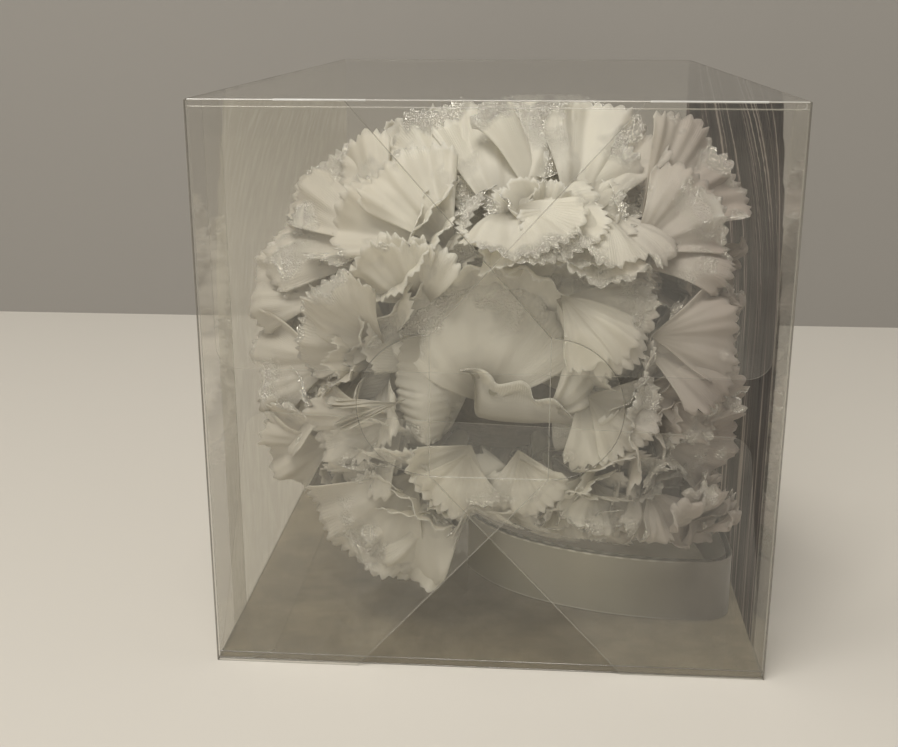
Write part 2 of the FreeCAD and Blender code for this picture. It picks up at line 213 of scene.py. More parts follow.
class Shader:
    """Short words for a material's node tree."""

    def __init__(self, name):
        self.material = bpy.data.materials.new(name)
        self.material.use_nodes = True
        self.tree = self.material.node_tree
        self.tree.nodes.clear()
        self.output = self.add("OutputMaterial")

    def add(self, kind, **settings):
        node = self.tree.nodes.new("ShaderNode" + kind)
        for name, value in settings.items():
            setattr(node, name, value)
        return node

    def link(self, source, target):
        self.tree.links.new(source, target)

    def put(self, socket, value):
        """A socket takes a constant, or the output of another node. A colour is written without its alpha."""
        if isinstance(value, bpy.types.NodeSocket):
            self.link(value, socket)
        else:
            socket.default_value = (*value, 1) if isinstance(value, tuple) else value

    def coordinates(self, kind, scale):
        mapping = self.add("Mapping")
        mapping.inputs["Scale"].default_value = scale
        self.link(self.add("TexCoord").outputs[kind], mapping.inputs["Vector"])
        return mapping.outputs["Vector"]

    def object_coordinates(self, scale=(1, 1, 1)):
        return self.coordinates("Object", scale)

    def uv(self, scale=(1, 1, 1)):
        return self.coordinates("UV", scale)

    def parts(self, vector):
        """The X, Y and Z of a vector."""
        node = self.add("SeparateXYZ")
        self.link(vector, node.inputs[0])
        return node.outputs

    def noise(self, vector, scale, detail=3.0, roughness=0.55, distortion=0.0):
        node = self.add("TexNoise")
        self.link(vector, node.inputs["Vector"])
        node.inputs["Scale"].default_value = scale
        node.inputs["Detail"].default_value = detail
        node.inputs["Roughness"].default_value = roughness
        node.inputs["Distortion"].default_value = distortion
        return node.outputs["Fac"]

    def bands(self, vector, scale, distortion, detail):
        """Waves along the vector's X."""
        node = self.add("TexWave", wave_type="BANDS", bands_direction="X")
        self.link(vector, node.inputs["Vector"])
        node.inputs["Scale"].default_value = scale
        node.inputs["Distortion"].default_value = distortion
        node.inputs["Detail"].default_value = detail
        return node.outputs["Fac"]

    def spread(self, value, low, high, to_low=0.0, to_high=1.0):
        node = self.add("MapRange")
        self.link(value, node.inputs["Value"])
        for socket, number in zip(("From Min", "From Max", "To Min", "To Max"),
                                  (low, high, to_low, to_high)):
            node.inputs[socket].default_value = number
        return node.outputs["Result"]

    def maths(self, operation, first, second=0.0):
        node = self.add("Math", operation=operation)
        self.put(node.inputs[0], first)
        self.put(node.inputs[1], second)
        return node.outputs["Value"]

    def facing(self, normal=None):
        """0 where the surface is seen face on, and more the more it is seen along its length."""
        node = self.add("LayerWeight")
        node.inputs["Blend"].default_value = 0.5
        if normal is not None:
            self.link(normal, node.inputs["Normal"])
        return node.outputs["Facing"]

    def blend(self, share, first, second):
        """Two colours mixed. The node's inputs 6 and 7 and its output 2 are those for colours."""
        node = self.add("Mix", data_type="RGBA")
        self.put(node.inputs["Factor"], share)
        self.put(node.inputs[6], first)
        self.put(node.inputs[7], second)
        return node.outputs[2]

    def bump(self, height, strength, distance):
        node = self.add("Bump")
        self.link(height, node.inputs["Height"])
        node.inputs["Strength"].default_value = strength
        node.inputs["Distance"].default_value = distance
        return node.outputs["Normal"]

    def surface(self, kind, **values):
        """A shader, with a value for each socket that is named, its spaces written as underscores."""
        node = self.add("Bsdf" + kind)
        for name, value in values.items():
            self.put(node.inputs[name.replace("_", " ")], value)
        return node.outputs["BSDF"]

    def mix(self, share, first, second):
        node = self.add("MixShader")
        self.put(node.inputs[0], share)
        self.link(first, node.inputs[1])
        self.link(second, node.inputs[2])
        return node.outputs[0]

    def finish(self, surface):
        self.link(surface, self.output.inputs["Surface"])
        return self.material


# ---- Materials

film_gloss = (0.96, 0.96, 0.95)
film_roughness = 0.05
film_haze = (0.85, 0.83, 0.77)
film_tint = (0.995, 0.993, 0.985)
# painted shade: the grey of the film's cut faces
film_edge = (0.42, 0.40, 0.35)
face_on_mirror = 0.024         # share of light that film mirrors where it is seen face on
# painted shadow: the base's dark brown veil and warm tint stand for the ball's shadow on it
base_painted_shadow = (0.14, 0.115, 0.075)
base_shadow_tint = (0.90, 0.865, 0.78)
base_shadow_veil = (0.10, 0.36)
rippled_wall_gloss = (0.55, 0.50, 0.47)
# painted reflection: the walls' streaks stand for the ball and the room mirrored in them
plum_painted_reflection = ((0.008, 0.004, 0.005), (0.055, 0.036, 0.036), (0.50, 0.44, 0.39))
beige_painted_reflection = ((0.78, 0.75, 0.66), (0.84, 0.81, 0.72), (0.91, 0.88, 0.79))

petal_cream = (0.87, 0.845, 0.77)
petal_white = (0.95, 0.935, 0.875)
# painted shade: petals darken towards their roots, in the heads' hollows
painted_root_shade = (0.46, 0.425, 0.34)
# painted highlight: the petals' rims are lighter
painted_rim_highlight = (0.95, 0.94, 0.90)
petal_glint = (1.0, 0.98, 0.92)
right_petal_painted_shade = (0.53, 0.46, 0.415)        # painted shade: petals darken towards the side walls
right_petal_shade_run = (30 * MM, 60 * MM)
left_petal_painted_shade = (0.74, 0.70, 0.62)
left_petal_shade_run = (-22 * MM, -50 * MM)

satin_dark = (0.43, 0.405, 0.325)
satin_light = (0.50, 0.475, 0.385)
satin_upper_edge = (0.90, 0.88, 0.79)
satin_lower_edge = (0.85, 0.83, 0.74)
# painted shade: the ribbon darkens towards its right end, where it turns away from the light
right_satin_painted_shade = (0.13, 0.115, 0.10)
right_satin_shade_run = (28 * MM, 60 * MM)


def film_sheet(s, ripple_scale, ripple_distance, veil, gloss_colour=film_gloss, haze_colour=film_haze,
               tint=film_tint, steep_mirror=0.90):
    """Clear film in s: see-through, mirroring more at a grazing angle, with a faint haze of scratches. On the
    base the haze is dark and thick: a painted shadow.
    """
    ripples = s.noise(s.object_coordinates(ripple_scale), scale=1.0, detail=2.0, roughness=0.5)
    fine = s.noise(s.object_coordinates(), scale=60.0, detail=2.0, roughness=0.5)
    height = s.maths("ADD", ripples, s.maths("MULTIPLY", fine, 0.12))
    normal = s.bump(height, strength=1.0, distance=ripple_distance)
    steep = s.maths("POWER", s.facing(normal), 5.0)
    mirror = s.maths("ADD", s.maths("MULTIPLY", steep, steep_mirror), face_on_mirror)
    gloss = s.surface("Anisotropic", Color=gloss_colour, Roughness=film_roughness, Normal=normal)
    clear = s.surface("Transparent", Color=tint)
    haze = s.surface("Diffuse", Color=haze_colour)
    # a mottled haze of scratches; on the base it is painted shadow
    scuffs_and_shadow = s.noise(s.object_coordinates(), scale=38.0, detail=4.0, roughness=0.7)
    thickness = s.spread(scuffs_and_shadow, 0.35, 0.75, *veil)
    return s.mix(mirror, s.mix(thickness, clear, haze), gloss)


def with_cut_edges(s, sheet, axis):
    """Shows the narrow faces of a sheet, those that don't face along axis, as cut film, grey with painted
    shade.
    """
    edge = s.surface("Principled", Base_Color=film_edge, Roughness=0.25, Alpha=0.6)
    normal = s.parts(s.add("TexCoord").outputs["Normal"])
    is_edge = s.maths("LESS_THAN", s.maths("ABSOLUTE", normal[axis]), 0.5)
    return s.mix(is_edge, sheet, edge)


def film_material(name, axis, ripple_scale, ripple_distance, veil=(0.004, 0.022), **looks):
    s = Shader(name)
    sheet = film_sheet(s, ripple_scale, ripple_distance, veil, **looks)
    return s.finish(with_cut_edges(s, sheet, axis))


def painted_reflection_wall_material(name, thickness, tones, run):
    """Rippled film with upright streaks of painted reflection, which show where it is seen along its length.

    The wall's UV runs along the wall from where its streaks begin, and up it, in tenths of a metre.
    The smaller run is, the longer the streaks are."""
    s = Shader(name)
    sheet = film_sheet(s, (1, 60, 1), 0.02 * MM, veil=(0.004, 0.02), gloss_colour=rippled_wall_gloss,
                       steep_mirror=0.30)
    coarse = s.noise(s.uv((1, run, 1)), scale=16.0, detail=2.0, roughness=0.6, distortion=0.3)
    fine = s.noise(s.uv((1, 0.6 * run, 1)), scale=42.0, detail=1.5, roughness=0.5)
    height = s.maths("ADD", s.maths("MULTIPLY", coarse, 0.62), s.maths("MULTIPLY", fine, 0.38))
    dark, medium, light = tones
    colour = s.blend(s.spread(height, 0.45, 0.53), dark, medium)
    colour = s.blend(s.spread(height, 0.545, 0.60), colour, light)
    skin = s.surface("Principled", Base_Color=colour, Roughness=0.3, Specular_IOR_Level=0.5)
    streaks = s.mix(0.5, skin, s.surface("Translucent", Color=colour))
    # the painted reflection shows only where the wall is seen along its length
    seen_along = s.spread(s.facing(), 0.55, 0.76, to_high=thickness)
    behind_tab = s.spread(s.parts(s.uv())["X"], 0.0, 0.008)
    share = s.maths("MULTIPLY", seen_along, behind_tab)
    return s.finish(with_cut_edges(s, s.mix(share, sheet, streaks), "X"))


def line_material(name, colour, alpha, roughness=0.15):
    """A fold or a cut edge, which bends the light and shows as a line, here fainter, there clearer. Its light
    lines are painted highlight, its dark ones painted shade.
    """
    s = Shader(name)
    marks = s.noise(s.object_coordinates(), scale=30.0)
    darker = tuple(0.75 * c for c in colour)
    shade = s.blend(s.spread(marks, 0.35, 0.65), darker, colour)
    breaks = s.noise(s.object_coordinates(), scale=17.0, detail=2.0)
    faint = s.spread(breaks, 0.35, 0.65, to_low=0.45 * alpha, to_high=alpha)
    return s.finish(s.surface("Principled", Base_Color=shade, Roughness=roughness,
                              Specular_IOR_Level=0.8, Alpha=faint))


def petal_material():
    """Off-white pinked fabric, crimped here and there, sparkling where the weave catches light. Shade is
    painted towards the roots and the side walls, and a highlight on the rims.

    The petals' UV runs across them, and along them from the calyx to the rim."""
    s = Shader("petal_fabric")
    along = s.parts(s.uv())["Y"]
    x = s.parts(s.object_coordinates())["X"]
    cloud = s.noise(s.object_coordinates(), scale=45.0)
    colour = s.blend(cloud, petal_cream, petal_white)
    # painted shade in the hollows: darker towards the root
    colour = s.blend(s.spread(along, 0.08, 0.50), painted_root_shade, colour)
    # painted highlight along the rim
    colour = s.blend(s.spread(along, 0.90, 1.0, to_high=0.5), colour, painted_rim_highlight)
    # painted shade: the petals darken towards the right wall and towards the left one
    colour = s.blend(s.spread(x, *right_petal_shade_run, to_high=0.85), colour, right_petal_painted_shade)
    colour = s.blend(s.spread(x, *left_petal_shade_run, to_high=0.7), colour, left_petal_painted_shade)
    crimp = s.bands(s.uv(), scale=17.0, distortion=1.6, detail=1.0)
    crimped = s.maths("MULTIPLY", s.spread(along, 0.35, 0.95), s.spread(cloud, 0.50, 0.62))
    weave = s.maths("MULTIPLY", s.noise(s.object_coordinates(), scale=2600.0, detail=1.0), 0.2)
    height = s.maths("ADD", s.maths("MULTIPLY", crimp, crimped), weave)
    normal = s.bump(height, strength=0.5, distance=0.22 * MM)
    cloth = s.surface("Principled", Base_Color=colour, Roughness=0.55, Sheen_Weight=0.25, Normal=normal)
    fabric = s.mix(0.56, cloth, s.surface("Translucent", Color=colour, Normal=normal))
    facets = s.noise(s.object_coordinates(), scale=1900.0, detail=1.0)
    glint = s.surface("Anisotropic", Color=petal_glint, Roughness=0.15,
                      Normal=s.bump(facets, strength=1.0, distance=2.0 * MM))
    patches = s.noise(s.object_coordinates(), scale=62.0, detail=2.0)
    share = s.maths("MULTIPLY", s.spread(patches, 0.52, 0.60), s.spread(along, 0.4, 0.85, to_high=0.72))
    return s.finish(s.mix(share, fabric, glint))


def satin_material():
    """Satin with a corded edge along both sides, the upper one beaded, and painted shade that darkens it
    towards its right end.

    The ribbon's UV runs along it and up it."""
    s = Shader("satin_ribbon")
    up = s.parts(s.uv())["Y"]
    x = s.parts(s.object_coordinates())["X"]
    beads = s.spread(s.bands(s.uv(), scale=34.0, distortion=2.0, detail=2.0), 0.2, 0.8, to_low=0.35)
    upper_edge = s.maths("MULTIPLY", s.spread(up, 0.965, 0.985), beads)
    lower_edge = s.spread(up, 0.022, 0.010, to_high=0.7)
    colour = s.blend(s.noise(s.object_coordinates(), scale=60.0), satin_dark, satin_light)
    colour = s.blend(upper_edge, colour, satin_upper_edge)
    colour = s.blend(lower_edge, colour, satin_lower_edge)
    # painted shade towards the ribbon's right end
    colour = s.blend(s.spread(x, *right_satin_shade_run, to_high=0.95), colour, right_satin_painted_shade)
    threads = s.noise(s.object_coordinates((1, 1, 14)), scale=300.0, detail=2.0)
    normal = s.bump(threads, strength=0.15, distance=0.05 * MM)
    return s.finish(s.surface("Principled", Base_Color=colour, Roughness=0.36, Sheen_Weight=0.2,
                              Normal=normal))


def plain_material(name, low, high, scale, roughness, metallic=0.0, bump_distance=0.05 * MM):
    """Moulded plastic, foam or wire: two close tones and a fine surface."""
    s = Shader(name)
    grain = s.noise(s.object_coordinates(), scale, detail=4.0)
    colour = s.blend(s.spread(grain, 0.35, 0.65), low, high)
    normal = s.bump(grain, strength=0.4, distance=bump_distance)
    return s.finish(s.surface("Principled", Base_Color=colour, Roughness=roughness, Metallic=metallic,
                              Normal=normal))


def bead_material(tip):
    """A pearl bead whose wire shows as a dark dot at its tip."""
    s = Shader("pearl_bead")
    offset = s.add("VectorMath", operation="DISTANCE")
    s.link(s.object_coordinates(), offset.inputs[0])
    offset.inputs[1].default_value = tip
    pearl = s.blend(s.noise(s.object_coordinates(), scale=200.0), (0.80, 0.78, 0.72), (0.90, 0.88, 0.82))
    beyond_wire = s.spread(offset.outputs["Value"], 0.5 * MM, 0.7 * MM)
    colour = s.blend(beyond_wire, (0.06, 0.05, 0.045), pearl)
    return s.finish(s.surface("Principled", Base_Color=colour, Roughness=0.2))


# ---- Stage

def floor_material():
    s = Shader("floor")
    return s.finish(s.surface("Principled", Base_Color=floor_colour, Roughness=0.6))


def backdrop_material():
    """The backdrop shows its front only, so that it hides nothing from behind."""
    s = Shader("backdrop")
    skin = s.surface("Principled", Base_Color=backdrop_colour, Roughness=0.9)
    from_behind = s.add("NewGeometry").outputs["Backfacing"]
    return s.finish(s.mix(from_behind, skin, s.surface("Transparent")))


def make_stage():
    deselect()
    bpy.ops.mesh.primitive_plane_add(size=2)
    floor = named("floor")
    floor.scale = (floor_half_width, floor_half_width, 1)
    settle(floor)
    paint(floor, floor_material())
    bpy.ops.mesh.primitive_plane_add(size=2, rotation=(math.pi / 2, 0, 0))
    backdrop = named("backdrop")
    backdrop.scale = (floor_half_width, backdrop_half_height, 1)
    backdrop.location = (0, floor_far_edge, backdrop_half_height)
    settle(backdrop)
    paint(backdrop, backdrop_material())


def add_lamp(name, place, aim, size, energy, colour):
    bpy.ops.object.light_add(type="AREA", location=place)
    lamp = bpy.context.active_object
    lamp.name = name
    lamp.rotation_euler = (Vector(aim) - Vector(place)).to_track_quat("-Z", "Y").to_euler()
    lamp.data.shape = "RECTANGLE"
    lamp.data.size, lamp.data.size_y = size
    lamp.data.energy = energy
    lamp.data.color = colour


def make_lights():
    add_lamp("key", place=(-0.24, -0.60, 1.42), aim=(0, -0.04, 0.05), size=(0.80, 0.60), energy=19.0,
             colour=(1, 0.97, 0.92))
    add_lamp("front", place=(-0.25, -0.95, 0.55), aim=(0, -0.06, 0.08), size=(0.40, 0.30), energy=1.5,
             colour=(1, 0.97, 0.93))
    world = bpy.data.worlds.new("studio")
    bpy.context.scene.world = world
    world.use_nodes = True
    background = world.node_tree.nodes["Background"]
    background.inputs["Color"].default_value = (0.52, 0.50, 0.47, 1)
    background.inputs["Strength"].default_value = 0.50


def make_camera():
    aim = camera_heading.normalized() * math.cos(camera_pitch)
    aim.z = -math.sin(camera_pitch)
    bpy.ops.object.camera_add(location=camera_place)
    camera = bpy.context.active_object
    camera.rotation_euler = aim.to_track_quat("-Z", "Y").to_euler()
    camera.data.lens = camera_lens
    camera.data.clip_start = 0.01
    bpy.context.scene.camera = camera


# ---- Carton

def paint_carton():
    upright = film_material("clear_film_end", "Y", (30, 1, 12), 0.05 * MM)
    rear = film_material("clear_film_rear", "Y", (30, 1, 12), 0.05 * MM, veil=(0.0, 0.006))
    level = film_material("clear_film_level", "Z", (14, 9, 1), 0.10 * MM)
    # the base's dark veil and tint are painted shadow under the ball
    base = film_material("clear_film_base", "Z", (14, 9, 1), 0.10 * MM, veil=base_shadow_veil,
                         haze_colour=base_painted_shadow, tint=base_shadow_tint)
    left_tab = film_material("clear_film_left_tab", "X", (1, 40, 3), 0.05 * MM)
    right_tab = film_material("clear_film_right_tab", "X", (1, 40, 3), 0.05 * MM, veil=(0.02, 0.06))
    looks = {
        upright: ("front_top_flap", "front_bottom_flap", "front_left_flap", "front_left_tongue",
                  "front_right_flap"),
        rear: ("rear_lid", "rear_left_dust_flap", "rear_right_dust_flap"),
        level: ("top_panel", "tuck_flap", "glue_seam_tab"),
        base: ("base_panel",),
        left_tab: ("left_corner_tab",),
        right_tab: ("right_corner_tab",),
    }
    for material, names in looks.items():
        for name in names:
            paint(nodes[name], material)


def swell_at(y, ripples):
    """How far the upright ripples of a wall of film swell at y: each has a length, a depth and a start."""
    swell = 0.0
    for length, depth, start in ripples:
        swell += depth * math.sin(math.tau * y / length + start)
    return swell


def shape_wall(wall, node, ripples, flat_until):
    """Moves a grid's points to a rippled wall. The ripples bow to the rear halfway up it."""
    low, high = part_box(node)
    outward = 1 if high.x > 0 else -1
    x = outward * (cad_box[1].x - film / 2)
    for point in wall.data.vertices:
        y = low.y + film / 2 + (point.co.x + 0.5) * (high.y - low.y - film / 2)
        z = low.z + (point.co.y + 0.5) * (high.z - low.z)
        share = smooth_step((y - flat_until) / ripple_rise) * smooth_step((high.y - y) / ripple_fall)
        belly = math.sin(math.pi * (z - low.z) / (high.z - low.z))
        swell = swell_at(y - wall_bow * belly, ripples) * share
        swell *= edge_swell + (1 - edge_swell) * belly ** 0.5
        point.co = (x - outward * abs(swell), y, z)


def unroll_wall(wall, node, flat_until):
    """Sets a wall's UV, along it from where its streaks begin, and up it, in tenths of a metre."""
    low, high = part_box(node)
    run = high.y - flat_until
    for corner, place in zip(wall.data.loops, wall.data.uv_layers.active.data):
        spot = wall.data.vertices[corner.vertex_index].co
        bow = math.sin(math.pi / 2 * min(1.0, (high.z - spot.z) / (streak_bow_height * (high.z - low.z))))
        back = (spot.y - flat_until - wall_bow * (1 - bow)) / run
        if back > 0:
            back = back ** (1 / (1 + streak_lean * bow))
        place.uv = (back * run * 10, (spot.z - low.z) * 10)


def make_wall(name, node, waves, tab_depth, material):
    """A side wall of film with the ripples that its folding left in it."""
    flat_until = cad_box[0].y + tab_depth
    dice = random.Random(name)
    ripples = [(length, depth, dice.uniform(0, math.tau)) for length, depth in waves]
    deselect()
    bpy.ops.mesh.primitive_grid_add(x_subdivisions=wall_columns, y_subdivisions=wall_rows, size=1)
    wall = named(name)
    shape_wall(wall, node, ripples, flat_until)
    unroll_wall(wall, node, flat_until)
    thicken(wall, film)
    bpy.ops.object.shade_smooth_by_angle(angle=math.radians(40))
    paint(wall, material)
    wall.visible_shadow = False      # its streaks are light that it mirrors, and they darken nothing
    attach(wall, "carton")
    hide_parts(node)


def make_walls():
    # each wall's streaks are painted reflection
    right = painted_reflection_wall_material("clear_film_right_wall", thickness=0.97, tones=plum_painted_reflection, run=0.05)
    left = painted_reflection_wall_material("clear_film_left_wall", thickness=0.42, tones=beige_painted_reflection, run=0.5)
    close = ((11 * MM, 0.10 * MM), (6.3 * MM, 0.07 * MM), (3.7 * MM, 0.04 * MM), (2.3 * MM, 0.02 * MM))
    calm = ((90 * MM, 0.25 * MM), (37 * MM, 0.06 * MM))
    make_wall("right_wall", "right_side_panel", close, right_tab_depth, right)
    make_wall("left_wall", "left_side_panel", calm, left_tab_depth, left)


def add_line(name, points, radius, body, material):
    """A thin line of film along points: a fold, or a cut edge."""
    deselect()
    curve = bpy.data.curves.new(name, "CURVE")
    curve.dimensions = "3D"
    curve.bevel_depth = radius
    curve.bevel_resolution = 1
    curve.use_fill_caps = True
    spline = curve.splines.new("POLY")
    spline.points.add(len(points) - 1)
    for spot, place in zip(spline.points, points):
        spot.co = (*place, 1)
    line = bpy.data.objects.new(name, curve)
    bpy.context.collection.objects.link(line)
    select_only(line)
    bpy.ops.object.convert(target="MESH")
    line = named(name)
    bpy.ops.object.shade_smooth_by_angle(angle=math.radians(60))
    paint(line, material)
    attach(line, body)


def half_circle(x, y, z, bulge, rise, steps, share=1.0):
    """Points of an upright half circle about x, y, z that bulges along X, or of a share of it."""
    points = []
    for i in range(steps + 1):
        angle = (math.pi * i / steps - math.pi / 2) * share
        points.append(Vector((x + bulge * math.cos(angle), y, z + rise * math.sin(angle))))
    return points


def make_folds():
    """The rounded folds along the tube and round its two ends."""
    # painted highlight and painted shade of the film's folds
    bright = line_material("bright_fold", colour=(0.90, 0.88, 0.82), alpha=0.75)
    dark = line_material("dark_fold", colour=(0.27, 0.25, 0.21), alpha=0.72)
    second = line_material("second_fold", colour=(0.72, 0.70, 0.62), alpha=0.45)
    # painted highlight: a white line for the fold's brightest stretches
    highlight_paint = line_material("painted_highlight_fold", colour=(1.0, 1.0, 0.97), alpha=1.0, roughness=0.05)
    low, high = cad_box
    inset = film / 2
    left, right = low.x + inset, high.x - inset
    base, top = low.z + fold_line_radius, high.z - inset
    front, rear = low.y + inset, high.y - inset
    front_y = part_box("front_top_flap")[0].y + inset
    for x, side in ((left, "left"), (right, "right")):
        for z, level in ((base, "base"), (top, "top")):
            points = (Vector((x, front + 4 * inset, z)), Vector((x, rear - 4 * inset, z)))
            add_line(f"{level}_{side}_fold", points, fold_line_radius, "carton", dark)
        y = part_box(f"front_{side}_flap")[0].y + inset
        points = (Vector((x, y, base)), Vector((x, y, top)))
        add_line(f"front_{side}_fold", points, fold_line_radius, "carton", dark)
    across = (("front_top", front_y, top, bright),
              ("front_top_inner", front_y, top - second_fold_drop, second),
              ("front_base", front_y, base, dark),
              ("front_base_inner", front_y, base + second_fold_rise, dark),
              ("rear_top", rear, top, dark))
    for name, y, z, material in across:
        points = (Vector((left + 2 * inset, y, z)), Vector((right - 2 * inset, y, z)))
        add_line(f"{name}_fold", points, fold_line_radius, "carton", material)
    # painted highlights along the top fold
    for side, (begin, end) in painted_highlights.items():
        points = (Vector((begin, front_y, top)), Vector((end, front_y, top)))
        add_line(f"gleam_{side}", points, painted_highlight_radius, "carton", highlight_paint)
    loop = half_circle(corner_loop.x, front_y, corner_loop.y, corner_loop_bulge, corner_loop_rise, 16)
    add_line("corner_loop", loop, cut_line_radius, "carton", bright)


def middle_y(node):
    """Halfway through the thickness of a flap at the front end."""
    low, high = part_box(node)
    return (low.y + high.y) / 2


def make_cut_edges():
    """The cut edges and creases of the two lock flaps at the front end, which show as thin lines."""
    # painted highlight and painted shade of the cut edges and creases
    grey = line_material("cut_film", colour=(0.26, 0.245, 0.20), alpha=0.60)
    light = line_material("scored_film", colour=(0.70, 0.68, 0.60), alpha=0.5)
    faint = line_material("faint_cut_film", colour=(0.50, 0.475, 0.41), alpha=0.45)
    low, high = cad_box
    tongue_low, tongue_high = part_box("front_left_tongue")
    centre_z = (tongue_low.z + tongue_high.z) / 2
    radius = (tongue_high.z - tongue_low.z) / 2
    crease = tongue_high.x - radius
    slit_low, slit_high = centre_z - radius, centre_z + radius
    flaps = (
        ("left", -1, "front_left_flap", "front_left_lock", "left_tongue", left_shoulder),
        ("right", 1, "front_right_flap", "front_right_lock", "front_right_lock", right_shoulder),
    )
    for side, sign, node, body, tongue_body, shoulder in flaps:
        y = middle_y(node)
        edge_x = sign * (high.x - shoulder)
        crease_x = -sign * crease
        upper = (Vector((edge_x, y, high.z - film)), Vector((crease_x, y, slit_high)))
        lower = (Vector((edge_x, y, low.z + film)), Vector((crease_x, y, slit_low)))
        add_line(f"{side}_lock_upper_edge", upper, cut_line_radius, body, grey if side == "left" else faint)
        add_line(f"{side}_lock_lower_edge", lower, cut_line_radius, body, faint)
        points = (Vector((crease_x, y, slit_low)), Vector((crease_x, y, slit_high)))
        add_line(f"{side}_tongue_crease", points, score_line_radius, body, light)
        arc = half_circle(crease_x, y, centre_z, -sign * radius, radius, 32, tongue_arc)
        add_line(f"{side}_tongue_edge", arc, cut_line_radius, tongue_body, grey)
    y = middle_y("front_left_flap")
    points = (Vector((-crease, y, slit_low)), Vector((crease, y, slit_low)))
    add_line("lock_score_line", points, score_line_radius, "front_left_lock", light)


# ---- Ribbon's route

def ribbon_route(offset):
    """Points and left-hand normals of one leg of the loop, in plan, every few millimetres."""
    place, heading = ribbon_start.copy(), ribbon_start_angle
    left = Vector((-math.sin(heading), math.cos(heading), 0))
    route = [(place + left * offset, left)]
    for radius, turn in zip(ribbon_radii, ribbon_angles):
        angle = math.radians(turn)
        steps = max(3, round(radius * angle / ribbon_step), round(turn / ribbon_turn_step))
        step = angle / steps
        chord = 2 * radius * math.sin(step / 2)
        for _ in range(steps):
            place = place + Vector((math.cos(heading + step / 2), math.sin(heading + step / 2), 0)) * chord
            heading += step
            left = Vector((-math.sin(heading), math.cos(heading), 0))
            route.append((place + left * offset, left))
    return route


@functools.cache
def ribbon_front(millimetres):
    """How far to the front the ribbon's outer leg is at x, in whole millimetres."""
    x = millimetres * MM
    route = [spot for spot, left in ribbon_route(0.0)]
    for a, b in zip(route, route[1:]):
        if a.x <= x < b.x:
            return a.y + (b.y - a.y) * (x - a.x) / (b.x - a.x)
    return route[0].y if x < route[0].x else ribbon_right_y


# ---- Room for the petals

def press(value, limit, sign):
    """Keeps a coordinate inside a plane of film, flattening softly as it comes near."""
    room = sign * (limit - value)
    if room >= soft_margin:
        return value
    return limit - sign * soft_margin * math.exp((room - soft_margin) / soft_margin)


def lowest(x, y):
    """The lowest that a petal may hang: the base, or a line of sight over the ribbon's upper edge."""
    hang = film_inside_base + front_hang * smooth_step((middle.y + hang_from - y) / hang_run)
    if x < low_until or y > middle.y + ribbon_rear:
        return hang
    clear = ribbon_top_clear + sight_slope * max(0.0, ribbon_front(round(x / MM)) - y)
    share = smooth_step((x - low_until) / (high_from - low_until))
    return hang + (clear - hang) * share


def from_front_middle(x, z):
    return math.hypot(x - front_middle.x, z - front_middle.y)


def front_limit(x, z, is_front):
    """The film, or for other heads the back of the front head's middle petals."""
    if is_front:
        return film_inside_front
    near = smooth_step((front_room_radius - from_front_middle(x, z)) / front_room_run)
    return film_inside_front + front_room * near


def inside_film(point, is_front):
    """A petal's point, kept off the film around it and off the ribbon under it."""
    x = press(point.x, film_inside_x, 1)
    x = press(x, -film_inside_x, -1)
    y = press(point.y, front_limit(x, point.z, is_front), -1)
    z = press(point.z, film_inside_top, 1)
    return Vector((x, y, press(z, lowest(x, y), -1)))


def has_room(layer, turn, reach, stand, is_front):
    """Whether the middle of a petal's rim would be free of the film, the ribbon and the middle petals."""
    lean = math.radians(layer["lean"])
    out = reach * layer["share"] * math.sin(lean)
    rim = Vector((out * math.cos(turn), out * math.sin(turn), reach * layer["share"] * math.cos(lean)))
    spot = middle + stand @ rim
    if spot.z < lowest(spot.x, spot.y) - most_drop:
        return False
    if is_front:
        return spot.z > front_middle.y - most_drop
    return spot.y > near_front or from_front_middle(spot.x, spot.z) > other_heads_clear


# ---- Carnations

# Each layer of a head, from the outside in: how many petals, columns of cloth across a petal,
# how far its rim leans from the head's axis in degrees, its share of the head's reach,
# where it turns outward, as shares of the rim's radius and of its rise, and its waves in millimetres
petal_layers = (
    dict(petals=6, columns=46, lean=38, share=0.93, belly=(0.42, 0.84), wave=3.0),
    dict(petals=6, columns=44, lean=32, share=0.96, belly=(0.40, 0.88), wave=3.2),
    dict(petals=5, columns=40, lean=25, share=0.985, belly=(0.40, 0.90), wave=3.2),
    dict(petals=5, columns=34, lean=18, share=1.0, belly=(0.42, 0.88), wave=3.0),
    dict(petals=4, columns=26, lean=11, share=1.0, belly=(0.50, 0.75), wave=2.6),
    dict(petals=4, columns=22, lean=6, share=0.96, belly=(0.60, 0.60), wave=2.4),
)
front_layers = (               # the front head is open in the middle
    dict(petals=6, columns=46, lean=44, share=0.93, belly=(0.82, 0.22), wave=3.6),
    dict(petals=6, columns=46, lean=36, share=0.93, belly=(0.86, 0.18), wave=3.6),
)
front_head = "front_mid"
hub_over_core = 7.5 * MM
front_hub_over_core = 1.5 * MM
hub_rise = 2.5 * MM            # from one layer to the next
head_lift = {"front_upper": 0.17}      # petals that lean upward from their calyx
least_reach = 74 * MM          # petals pressed against the film are as long as the others
under_broad_petals = 0.90      # how far the petals of a head that has broad ones reach beneath them
petal_rows = 11
petal_thickness = 0.25 * MM
least_petal_radius = 0.4 * MM


def petal_grid(columns):
    """The mesh of a flat grid of cloth, as wide and as long as 1."""
    deselect()
    bpy.ops.mesh.primitive_grid_add(x_subdivisions=columns, y_subdivisions=petal_rows, size=1)
    grid = bpy.context.active_object
    mesh = grid.data
    bpy.data.objects.remove(grid)
    return mesh


